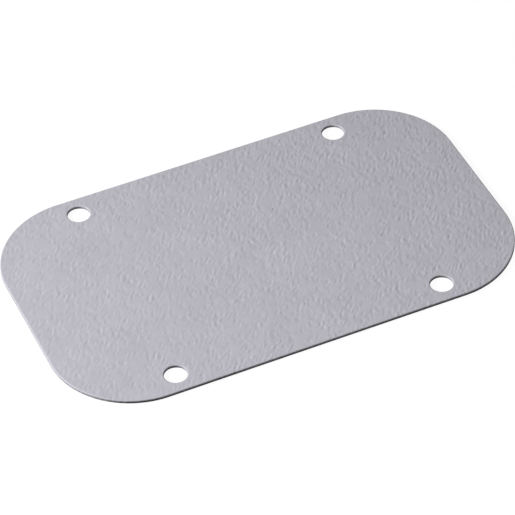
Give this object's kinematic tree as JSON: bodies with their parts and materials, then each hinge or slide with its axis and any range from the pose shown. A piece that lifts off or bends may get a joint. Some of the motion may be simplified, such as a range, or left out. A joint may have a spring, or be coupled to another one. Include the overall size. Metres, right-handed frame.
{
  "type": "cable entry plate",
  "caption": "Flat rounded-rectangle sheet steel plate with round screw holes near its long sides, in a textured light grey coat, for closing an enclosure's cable opening.",
  "frame": {"origin": "centre of the underside, the face that seats on the enclosure", "axes": "+X along the plate's long sides, +Y across it, +Z out of the side that shows"},
  "size_m": [0.14, 0.085, 0.001],
  "materials": {
    "textured_coat": "satin"
  },
  "bodies": {
    "root": {"cable_entry_plate": "textured_coat"}
  },
  "joints": []
}
